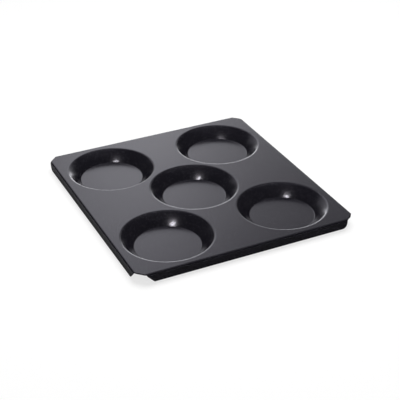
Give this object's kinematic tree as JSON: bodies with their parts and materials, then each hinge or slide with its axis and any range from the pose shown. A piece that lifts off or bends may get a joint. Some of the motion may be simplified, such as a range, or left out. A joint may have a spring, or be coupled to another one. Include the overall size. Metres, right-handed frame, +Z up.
{
  "type": "multi-cavity baking pan",
  "caption": "Shallow rectangular baking tray with cut corners, turned-down flanges and round, flat-bottomed cups lapped into its plate, all under a dark coating.",
  "frame": {"origin": "middle of the plane that the pan stands on, under the middle cup", "axes": "+X across the tray's width, +Y along its length from the front to the back, +Z up"},
  "size_m": [0.325, 0.354, 0.017],
  "materials": {
    "coated_sheet": "satin dark charcoal non-stick coating over sheet metal"
  },
  "bodies": {
    "root": {"tray_plate": "coated_sheet", "cup_centre": "coated_sheet", "cup_front_left": "coated_sheet", "cup_front_right": "coated_sheet", "cup_back_left": "coated_sheet", "cup_back_right": "coated_sheet"}
  },
  "joints": []
}
